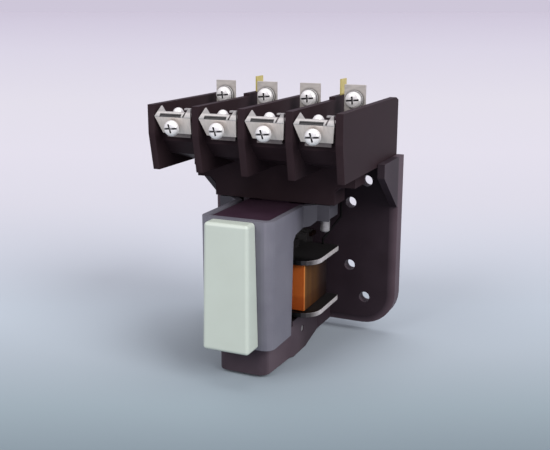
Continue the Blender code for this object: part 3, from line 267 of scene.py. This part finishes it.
nose_front = -0.0875
base_back = 0.0
# Painted light and shade along the base's depth: lighter at the nose and the back plate, darker on the web
# between them, where the block and frame shade it.
base_painted_light_and_shade = (
    (0.0, (0.76, 0.74, 0.76)), (0.02, (0.76, 0.74, 0.76)), (0.05, (1.30, 1.28, 1.26)),
    (0.25, (1.18, 1.14, 1.14)), (0.43, (1.0, 0.97, 0.97)), (0.55, (0.62, 0.58, 0.59)),
    (0.77, (0.40, 0.35, 0.38)), (0.886, (0.40, 0.35, 0.38)), (0.902, (1.2, 1.1, 1.1)),
    (1.0, (1.2, 1.1, 1.1)),
)
base_moulding = moulding("base_moulding", (0.060, 0.043, 0.053), (0.075, 0.056, 0.068),
                         rough=0.5, grain=0.12, shine=0.12)
recolour(base_moulding, painted_light_along, "Y", nose_front, base_back, base_painted_light_and_shade)
block_moulding = moulding("block_moulding", (0.026, 0.0155, 0.0185), (0.032, 0.0200, 0.0235),
                          rough=0.52, grain=0.1, shine=0.04)
base_edge = 0.0005
block_edge = 0.0003
coat("base", base_moulding)
coat("contact_block", block_moulding)
soften("base", base_edge)
soften("contact_block", block_edge)

# Crosshead.
# A darker purple moulding in one piece, from the flat top to the four carriers. It slides in the
# frame, with the armature pinned below it, and carries the moving contacts.
crosshead_moulding = moulding("crosshead_moulding", (0.037, 0.017, 0.030), (0.046, 0.023, 0.038),
                              rough=0.6, grain=0.1, shine=0.15)
crosshead_edge = 0.0002
coat("crosshead", crosshead_moulding)
soften("crosshead", crosshead_edge)

# Front frame.
# A die casting under semi-matt grey paint, with full round corners. Two studs through its drilled
# ears hold it, and painted shade darkens it towards the back, under the contact block.
frame_shade_start = -0.074
frame_shade_end = -0.040
# Painted shade: the grey paint is darkened towards the back.
frame_painted_shade = (
    (0.0, (1.0, 1.0, 1.0)), (0.3, (0.8, 0.79, 0.80)), (0.5, (0.42, 0.41, 0.41)),
    (1.0, (0.30, 0.29, 0.29)),
)
grey_paint = moulding("grey_paint", (0.14, 0.135, 0.165), (0.165, 0.16, 0.19),
                      rough=0.45, grain=0.15, shine=0.3)
recolour(grey_paint, painted_light_along, "Y", frame_shade_start, frame_shade_end, frame_painted_shade)
frame_edge = 0.0004
coat("front_frame", grey_paint)
soften("front_frame", frame_edge)

# Label block.
# A solid block with soft edges under pale green-grey enamel, clipped to the frame's front. Its
# front leans back and its right edge leans in towards the top.
pale_enamel = moulding("pale_enamel", (0.496, 0.541, 0.482), (0.515, 0.564, 0.505),
                       rough=0.35, grain=0.05, shine=0.4)
label_low, label_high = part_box("label_block")
label_top = 0.0261
label_foot = -0.0353
label_left = -0.0121
label_right_foot = 0.01205
label_top_lean = 0.00135
label_top_setback = 0.0034
label_round = 0.0017
label_round_steps = 6
smooth_angle = math.radians(35.0)
label_middle_x = (label_left + label_right_foot) / 2
label_middle_y = (label_low[1] + label_high[1]) / 2
label_middle_z = (label_top + label_foot) / 2
bpy.ops.object.select_all(action="DESELECT")
bpy.ops.mesh.primitive_cube_add(size=1.0, location=(label_middle_x, label_middle_y, label_middle_z))
label = bpy.context.object
label.name = "label_cover"
label.scale = (label_right_foot - label_left, label_high[1] - label_low[1], label_top - label_foot)
bpy.ops.object.transform_apply(location=True, rotation=True, scale=True)
bpy.ops.object.mode_set(mode="EDIT")


def choose(piece, test):
    bpy.ops.mesh.select_mode(type="VERT")
    bpy.ops.mesh.select_all(action="DESELECT")
    form = bmesh.from_edit_mesh(piece.data)
    for point in form.verts:
        point.select_set(test(point.co))
    form.select_flush(True)
    bmesh.update_edit_mesh(piece.data)


choose(label, lambda point: point.z > label_middle_z and point.x > 0.0)
bpy.ops.transform.translate(value=(-label_top_lean, 0.0, 0.0))
choose(label, lambda point: point.z > label_middle_z and point.y < label_middle_y)
bpy.ops.transform.translate(value=(0.0, label_top_setback, 0.0))
bpy.ops.mesh.select_all(action="DESELECT")
bpy.ops.mesh.select_mode(type="EDGE")
form = bmesh.from_edit_mesh(label.data)
for line in form.edges:
    line.select_set(min(point.co.y for point in line.verts) < label_middle_y)
bmesh.update_edit_mesh(label.data)
bpy.ops.mesh.bevel(offset=label_round, segments=label_round_steps, affect="EDGES")
bpy.ops.object.mode_set(mode="OBJECT")
bpy.ops.object.shade_smooth_by_angle(angle=smooth_angle)
even = label.modifiers.new("even", "WEIGHTED_NORMAL")
even.keep_sharp = True
bpy.ops.object.modifier_apply(modifier="even")
label.data.materials.append(pale_enamel)
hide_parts("label_block")
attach(label, "housing")


# Terminals.
# Nickel-plated brass strips and clamp plates, stamped and bent, with zinc-plated steel screws and
# washers. The strips lie in the block's channels, and a screw holds each one down.
def plating(name, dark, light, rough, stretch, metal):
    made = bpy.data.materials.new(name)
    made.use_nodes = True
    tree = made.node_tree
    shader = tree.nodes["Principled BSDF"]
    shader.inputs["Metallic"].default_value = metal
    place = tree.nodes.new("ShaderNodeTexCoord")
    turn = tree.nodes.new("ShaderNodeMapping")
    turn.inputs["Scale"].default_value = stretch
    cloud = tree.nodes.new("ShaderNodeTexNoise")
    cloud.inputs["Scale"].default_value = 900.0
    cloud.inputs["Detail"].default_value = 5.0
    tint = tree.nodes.new("ShaderNodeValToRGB")
    tint.color_ramp.elements[0].position = 0.3
    tint.color_ramp.elements[0].color = (*dark, 1.0)
    tint.color_ramp.elements[1].position = 0.65
    tint.color_ramp.elements[1].color = (*light, 1.0)
    gloss = tree.nodes.new("ShaderNodeMapRange")
    gloss.inputs["To Min"].default_value = rough - 0.08
    gloss.inputs["To Max"].default_value = rough + 0.12
    relief = tree.nodes.new("ShaderNodeBump")
    relief.inputs["Strength"].default_value = 0.08
    relief.inputs["Distance"].default_value = 0.0001
    link = tree.links.new
    link(place.outputs["Object"], turn.inputs["Vector"])
    link(turn.outputs["Vector"], cloud.inputs["Vector"])
    link(cloud.outputs["Fac"], tint.inputs["Fac"])
    link(tint.outputs["Color"], shader.inputs["Base Color"])
    link(cloud.outputs["Fac"], gloss.inputs["Value"])
    link(gloss.outputs["Result"], shader.inputs["Roughness"])
    link(cloud.outputs["Fac"], relief.inputs["Height"])
    link(relief.outputs["Normal"], shader.inputs["Normal"])
    return made


# Painted shade: darkens a colour where ambient occlusion finds other surfaces close by, in recesses,
# creases and between parts.
def painted_occlusion_shade(tree, tint, reach, low, high, shade):
    hollow = tree.nodes.new("ShaderNodeAmbientOcclusion")
    hollow.inputs["Distance"].default_value = reach
    painted_shade_range = tree.nodes.new("ShaderNodeMapRange")
    painted_shade_range.inputs["From Min"].default_value = low
    painted_shade_range.inputs["From Max"].default_value = high
    painted_shade_range.inputs["To Min"].default_value = shade
    tree.links.new(hollow.outputs["AO"], painted_shade_range.inputs["Value"])
    return multiplied(tree, tint, painted_shade_range.outputs["Result"])


pole_pitch = 0.024


# Painted shade: darkens a band over each clamp plate's groove, repeated at the pole pitch.
def painted_groove_shade(tree, tint, low, high, left, right, shade):
    place = tree.nodes.new("ShaderNodeTexCoord")
    split = tree.nodes.new("ShaderNodeSeparateXYZ")
    moved = tree.nodes.new("ShaderNodeMath")
    moved.inputs[1].default_value = 2 * pole_pitch
    pole_place = tree.nodes.new("ShaderNodeMath")
    pole_place.operation = "FLOORED_MODULO"
    pole_place.inputs[1].default_value = pole_pitch
    across = tree.nodes.new("ShaderNodeMath")
    across.operation = "COMPARE"
    across.inputs[1].default_value = pole_pitch / 2 + (right - left) / 2
    across.inputs[2].default_value = (right + left) / 2
    upright = tree.nodes.new("ShaderNodeMath")
    upright.operation = "COMPARE"
    upright.inputs[1].default_value = (low + high) / 2
    upright.inputs[2].default_value = (high - low) / 2
    inside = tree.nodes.new("ShaderNodeMath")
    inside.operation = "MULTIPLY"
    painted_shade_mix = tree.nodes.new("ShaderNodeMix")
    painted_shade_mix.data_type = "RGBA"
    painted_shade_mix.blend_type = "MULTIPLY"
    painted_shade_mix.inputs["B"].default_value = (shade, shade, shade, 1.0)
    tree.links.new(place.outputs["Object"], split.inputs["Vector"])
    tree.links.new(split.outputs["X"], moved.inputs[0])
    tree.links.new(moved.outputs["Value"], pole_place.inputs[0])
    tree.links.new(pole_place.outputs["Value"], across.inputs[0])
    tree.links.new(split.outputs["Z"], upright.inputs[0])
    tree.links.new(across.outputs["Value"], inside.inputs[0])
    tree.links.new(upright.outputs["Value"], inside.inputs[1])
    tree.links.new(inside.outputs["Value"], painted_shade_mix.inputs["Factor"])
    tree.links.new(tint, painted_shade_mix.inputs["A"])
    return painted_shade_mix.outputs["Result"]


# Painted shade in recesses and between parts, for the plated metal parts and the screws.
painted_shade_reach = 0.0012
painted_shade_low = 0.45
painted_shade_high = 0.95
nickel = plating("nickel_plating", (0.44, 0.405, 0.385), (0.54, 0.50, 0.475),
                 rough=0.38, stretch=(1.0, 0.3, 0.3), metal=0.2)
recolour(nickel, painted_occlusion_shade, painted_shade_reach, painted_shade_low, painted_shade_high, 0.25)
# Painted light and shade: the clamp plates are lighter and darker in bands by height, for their bent faces.
clamp_foot = 0.0710
clamp_head = 0.0760
clamp_painted_light_and_shade = (
    (0.0, (1.0, 1.0, 1.0)), (0.10, (0.44, 0.48, 0.52)), (0.45, (0.70, 0.74, 0.78)),
    (0.60, (0.42, 0.45, 0.48)), (1.0, (0.48, 0.51, 0.55)),
)
# The band of painted shade over the clamp plates' grooves.
groove_low = 0.0713
groove_high = 0.0729
groove_left = 0.0070
groove_right = 0.0046
clamp_nickel = plating("clamp_nickel", (0.70, 0.625, 0.57), (0.82, 0.735, 0.67),
                       rough=0.38, stretch=(1.0, 0.3, 0.3), metal=0.25)
recolour(clamp_nickel, painted_light_along, "Z", clamp_foot, clamp_head, clamp_painted_light_and_shade)
recolour(clamp_nickel, painted_occlusion_shade, painted_shade_reach, painted_shade_low, painted_shade_high, 0.15)
recolour(clamp_nickel, painted_groove_shade, groove_low, groove_high, groove_left, groove_right, 0.16)
# Painted shade: the front strips are a darker copy of the nickel, for the shade below the clamp plates.
strip_nickel_painted_shade = plating("strip_nickel_painted_shade", (0.16, 0.135, 0.13), (0.22, 0.19, 0.18),
                       rough=0.45, stretch=(1.0, 0.3, 0.3), metal=0.2)
tab_nickel = plating("tab_nickel", (0.40, 0.37, 0.345), (0.50, 0.465, 0.435),
                     rough=0.4, stretch=(0.3, 0.3, 1.0), metal=0.15)
# The rear strips get the same painted shade in their recesses, over a longer reach.
tab_painted_shade_reach = 0.0016
recolour(tab_nickel, painted_occlusion_shade, tab_painted_shade_reach, painted_shade_low, painted_shade_high, 0.2)
zinc = plating("zinc_plating", (0.74, 0.72, 0.71), (0.84, 0.82, 0.81),
               rough=0.35, stretch=(1.0, 1.0, 1.0), metal=0.3)
# The screws get deeper painted shade in their slots and recesses.
zinc_painted_shade_low = 0.5
recolour(zinc, painted_occlusion_shade, painted_shade_reach, zinc_painted_shade_low, painted_shade_high, 0.02)
steel = plating("plain_steel", (0.26, 0.24, 0.24), (0.36, 0.34, 0.34),
                rough=0.38, stretch=(1.0, 1.0, 1.0), metal=0.6)
plate_edge = 0.00015
poles = range(1, 5)
for pole in poles:
    for name, metal in (("front_strip", strip_nickel_painted_shade), ("clamp_plate", clamp_nickel),
                        ("rear_strip", tab_nickel)):
        coat(f"{name}_{pole}", metal)
        soften(f"{name}_{pole}", plate_edge)
    for name in ("strip_screw", "rear_screw", "rear_washer"):
        coat(f"{name}_{pole}", zinc)

# Clamp screws.
# Zinc-plated pan heads, turned and slotted, with a cross struck through the slot. All four are
# alike and stand in the middle of their clamp plates.
head_radius = 0.0038
head_height = 0.0026
head_sides = 64
head_round = head_height * 0.75
head_round_steps = 6
slot_width = 0.0009
slot_depth = 0.0012
slot_room = 0.001
slot_reach = head_radius * 1.2
slot_turn = math.radians(-3.0)
cross_reach = 0.0022
cross_turn = math.radians(72.0)
shaft_radius = 0.0017
shaft_sides = 32
shaft_sunk = 0.0002
lying = (math.radians(90.0), 0.0, 0.0)
screw_low, screw_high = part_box("clamp_screw_1")
screw_place = [(screw_low[side] + screw_high[side]) / 2 for side in range(3)]
bpy.ops.object.select_all(action="DESELECT")
head_middle = (screw_place[0], screw_low[1] + head_height / 2, screw_place[2])
bpy.ops.mesh.primitive_cylinder_add(vertices=head_sides, radius=head_radius, depth=head_height,
                                    rotation=lying, location=head_middle)
screw = bpy.context.object
bpy.ops.object.transform_apply(location=True, rotation=True, scale=True)
bpy.ops.object.mode_set(mode="EDIT")
choose(screw, lambda point: point.y < head_middle[1])
bpy.ops.mesh.bevel(offset=head_round, segments=head_round_steps, affect="EDGES")
bpy.ops.object.mode_set(mode="OBJECT")


def cut_from(piece, tool, operation):
    step = piece.modifiers.new("step", "BOOLEAN")
    step.operation = operation
    step.solver = "EXACT"
    step.object = tool
    bpy.ops.object.select_all(action="DESELECT")
    bpy.context.view_layer.objects.active = piece
    piece.select_set(True)
    bpy.ops.object.modifier_apply(modifier="step")
    bpy.data.objects.remove(tool)


slot_middle = (screw_place[0], screw_low[1] + (slot_depth - slot_room) / 2, screw_place[2])
for reach, turn in ((slot_reach, slot_turn), (cross_reach, cross_turn)):
    bpy.ops.object.select_all(action="DESELECT")
    bpy.ops.mesh.primitive_cube_add(size=1.0, location=slot_middle, rotation=(0.0, turn, 0.0))
    slot = bpy.context.object
    slot.scale = (2 * reach, slot_depth + slot_room, slot_width)
    bpy.ops.object.transform_apply(location=True, rotation=True, scale=True)
    cut_from(screw, slot, "DIFFERENCE")
shaft_start = screw_low[1] + head_height - shaft_sunk
shaft_length = screw_high[1] - shaft_start
bpy.ops.object.select_all(action="DESELECT")
shaft_middle = (screw_place[0], shaft_start + shaft_length / 2, screw_place[2])
bpy.ops.mesh.primitive_cylinder_add(vertices=shaft_sides, radius=shaft_radius, depth=shaft_length,
                                    rotation=lying, location=shaft_middle)
shaft = bpy.context.object
bpy.ops.object.transform_apply(location=True, rotation=True, scale=True)
cut_from(screw, shaft, "UNION")
bpy.ops.object.shade_smooth_by_angle(angle=smooth_angle)
screw.data.materials.clear()
screw.data.materials.append(zinc)
for pole in poles:
    low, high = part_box(f"clamp_screw_{pole}")
    to_pole = mathutils.Vector(((low[0] + high[0]) / 2 - screw_place[0], 0.0, 0.0))
    copy = bpy.data.objects.new(f"clamp_screw_head_{pole}", screw.data.copy())
    copy.data.transform(mathutils.Matrix.Translation(to_pole))
    scene.collection.objects.link(copy)
    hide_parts(f"clamp_screw_{pole}")
    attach(copy, "housing")
bpy.data.objects.remove(screw)

# Moving contacts.
# Plated copper bridges with a round tip under each end. They lie loose in the crosshead's
# carriers, one for each pole.
for pole in poles:
    coat(f"bridge_{pole}", nickel)

# Springs.
# Open coils of bare steel wire. Four short ones press the bridges down, and two stand on the
# coil's upper flange and lift the armature.
spring_wire = plating("spring_wire", (0.20, 0.19, 0.20), (0.30, 0.29, 0.30),
                      rough=0.4, stretch=(1.0, 1.0, 1.0), metal=1.0)
contact_travel = 0.0018
return_travel = 0.0065
wire_weld = 0.000005
wire_smooth_angle = math.radians(50.0)
lower_end = 0
upper_end = 1
spring_rows = [
    (f"contact_spring_{pole}", "crosshead", f"bridge_{pole}_slide", upper_end, contact_travel)
    for pole in poles
]
spring_rows += [
    (f"return_spring_{end}", "housing", "crosshead_slide", lower_end, return_travel)
    for end in ("front", "rear")
]
for name, body, slide, still_end, travel in spring_rows:
    low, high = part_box(name)
    coil = bpy.data.objects.new(f"{name}_wire", nodes[name].data.copy())
    scene.collection.objects.link(coil)
    bpy.ops.object.select_all(action="DESELECT")
    bpy.context.view_layer.objects.active = coil
    coil.select_set(True)
    bpy.ops.object.mode_set(mode="EDIT")
    bpy.ops.mesh.select_all(action="SELECT")
    bpy.ops.mesh.remove_doubles(threshold=wire_weld)
    bpy.ops.object.mode_set(mode="OBJECT")
    bpy.ops.object.shade_smooth_by_angle(angle=wire_smooth_angle)
    coil.data.materials.clear()
    coil.data.materials.append(spring_wire)
    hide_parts(name)
    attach(coil, body)
    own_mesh(coil)

# Pins, studs and the screws at the back.
# Turned steel, left plain. The studs hold the frame, the pins carry the armature and the magnet,
# and two screws from behind hold the contact block to the base.
for name in ("frame_stud_left", "frame_stud_right", "armature_pin", "magnet_pin", "block_screw_left",
             "block_screw_right"):
    coat(name, steel)


# Magnet.
# Thin iron sheets stacked side by side and pressed together, with copper rings let into
# the pole faces.
def banded(name, dark, light, axis, pitch, metal, rough, depth):
    made = bpy.data.materials.new(name)
    made.use_nodes = True
    tree = made.node_tree
    shader = tree.nodes["Principled BSDF"]
    shader.inputs["Metallic"].default_value = metal
    shader.inputs["Roughness"].default_value = rough
    shader.inputs["Specular IOR Level"].default_value = 0.15
    place = tree.nodes.new("ShaderNodeTexCoord")
    bands = tree.nodes.new("ShaderNodeTexWave")
    bands.bands_direction = axis
    bands.inputs["Scale"].default_value = math.pi / 10 / pitch
    bands.inputs["Distortion"].default_value = 0.4
    bands.inputs["Detail"].default_value = 2.0
    tint = tree.nodes.new("ShaderNodeValToRGB")
    tint.color_ramp.elements[0].color = (*dark, 1.0)
    tint.color_ramp.elements[1].position = 0.6
    tint.color_ramp.elements[1].color = (*light, 1.0)
    relief = tree.nodes.new("ShaderNodeBump")
    relief.inputs["Strength"].default_value = 0.6
    relief.inputs["Distance"].default_value = depth
    link = tree.links.new
    link(place.outputs["Object"], bands.inputs["Vector"])
    link(bands.outputs["Fac"], tint.inputs["Fac"])
    link(tint.outputs["Color"], shader.inputs["Base Color"])
    link(bands.outputs["Fac"], relief.inputs["Height"])
    link(relief.outputs["Normal"], shader.inputs["Normal"])
    return made


sheet_pitch = 0.0005
sheet_groove = 0.0001
# Painted shade: the core and armature sheets are coloured near black, for the shade they sit in under the
# crosshead.
core_sheets_painted_shade = banded("core_sheets_painted_shade", (0.05, 0.045, 0.045), (0.12, 0.115, 0.11),
                     axis="X", pitch=sheet_pitch, metal=0.8, rough=0.5, depth=sheet_groove)
coat("magnet_core", core_sheets_painted_shade)
coat("armature", core_sheets_painted_shade)
# Painted shade: the copper rings are near black, for the shade they sit in.
ring_copper = plating("ring_copper", (0.035, 0.018, 0.014), (0.055, 0.028, 0.020),
                      rough=0.45, stretch=(1.0, 1.0, 1.0), metal=1.0)
coat("shading_ring_front", ring_copper)
coat("shading_ring_rear", ring_copper)

# Coil.
# Varnished copper wire wound in close turns on a bobbin with two flanges, which sits on the
# magnet's middle leg. The winding carries a painted highlight at its front corner and painted
# shade towards its back and bottom. The silver-grey flanges carry painted shade at the front and
# on every face not turned sideways, so only their side edges stay light.
turn_pitch = 0.0005
turn_groove = 0.0002
winding_front = -0.0582
winding_back = -0.026
winding_low = -0.0273
winding_high = -0.003
# Painted light and shade on the winding: a painted highlight just behind its front corner, and painted
# shade darkening it towards the back.
winding_painted_light_and_shade = (
    (0.0, (1.0, 1.0, 1.0)), (0.006, (1.0, 1.0, 1.0)), (0.014, (1.1, 1.9, 1.9)), (0.035, (0.26, 0.55, 0.75)),
    (0.16, (0.17, 0.36, 0.6)), (0.24, (0.22, 0.48, 0.7)), (0.34, (0.13, 0.28, 0.6)),
    (0.44, (0.15, 0.34, 0.6)), (0.7, (0.05, 0.13, 0.5)), (1.0, (0.02, 0.07, 0.4)),
)
# Painted shade: the winding is darker towards its bottom.
winding_painted_low_shade = (
    (0.0, (0.72, 0.60, 0.5)), (0.28, (0.80, 0.72, 0.7)), (0.34, (1.0, 1.0, 1.0)), (1.0, (1.0, 1.0, 1.0)),
)
winding_edge = 0.0006
winding = banded("varnished_winding", (0.42, 0.080, 0.015), (0.60, 0.125, 0.024),
                 axis="Z", pitch=turn_pitch, metal=0.0, rough=0.4, depth=turn_groove)
recolour(winding, painted_light_along, "Y", winding_front, winding_back, winding_painted_light_and_shade)
recolour(winding, painted_light_along, "Z", winding_low, winding_high, winding_painted_low_shade)
coat("coil_winding", winding)
soften("coil_winding", winding_edge)
flange_front = -0.0605
flange_lit = -0.048
# Painted shade: the flanges are darker towards their front.
flange_painted_shade = (
    (0.0, (0.10, 0.09, 0.10)), (0.25, (0.14, 0.13, 0.13)), (0.75, (1.0, 1.0, 1.0)), (1.0, (1.0, 1.0, 1.0)),
)
flange_edge = 0.0003


# Painted shade: darkens every face that does not face sideways, leaving the side edges light.
def painted_side_light(tree, tint, low, high, shade):
    facing = tree.nodes.new("ShaderNodeNewGeometry")
    split = tree.nodes.new("ShaderNodeSeparateXYZ")
    size = tree.nodes.new("ShaderNodeMath")
    size.operation = "ABSOLUTE"
    edge = tree.nodes.new("ShaderNodeMapRange")
    edge.inputs["From Min"].default_value = low
    edge.inputs["From Max"].default_value = high
    edge.inputs["To Min"].default_value = shade
    tree.links.new(facing.outputs["Normal"], split.inputs["Vector"])
    tree.links.new(split.outputs["X"], size.inputs[0])
    tree.links.new(size.outputs["Value"], edge.inputs["Value"])
    return multiplied(tree, tint, edge.outputs["Result"])


flange_plating = plating("flange_plating", (0.46, 0.42, 0.42), (0.60, 0.56, 0.56),
                         rough=0.4, stretch=(1.0, 1.0, 1.0), metal=0.3)
recolour(flange_plating, painted_light_along, "Y", flange_front, flange_lit, flange_painted_shade)
recolour(flange_plating, painted_side_light, 0.15, 0.7, 0.035)
coat("coil_bobbin", flange_plating)
soften("coil_bobbin", flange_edge)

# Coil blades and leads.
# Two flat brass blades, stamped from sheet, stand in the barriers. Black covered wires join them
# to the coil's ends.
blade_brass = plating("blade_brass", (0.56, 0.47, 0.12), (0.70, 0.60, 0.20),
                      rough=0.32, stretch=(1.0, 1.0, 0.3), metal=0.6)
lead_cover = moulding("lead_cover", (0.004, 0.004, 0.004), (0.007, 0.006, 0.007),
                      rough=0.7, grain=0.1, shine=0.05)
for side in ("left", "right"):
    coat(f"coil_blade_{side}", blade_brass)
    coat(f"coil_lead_{side}", lead_cover)
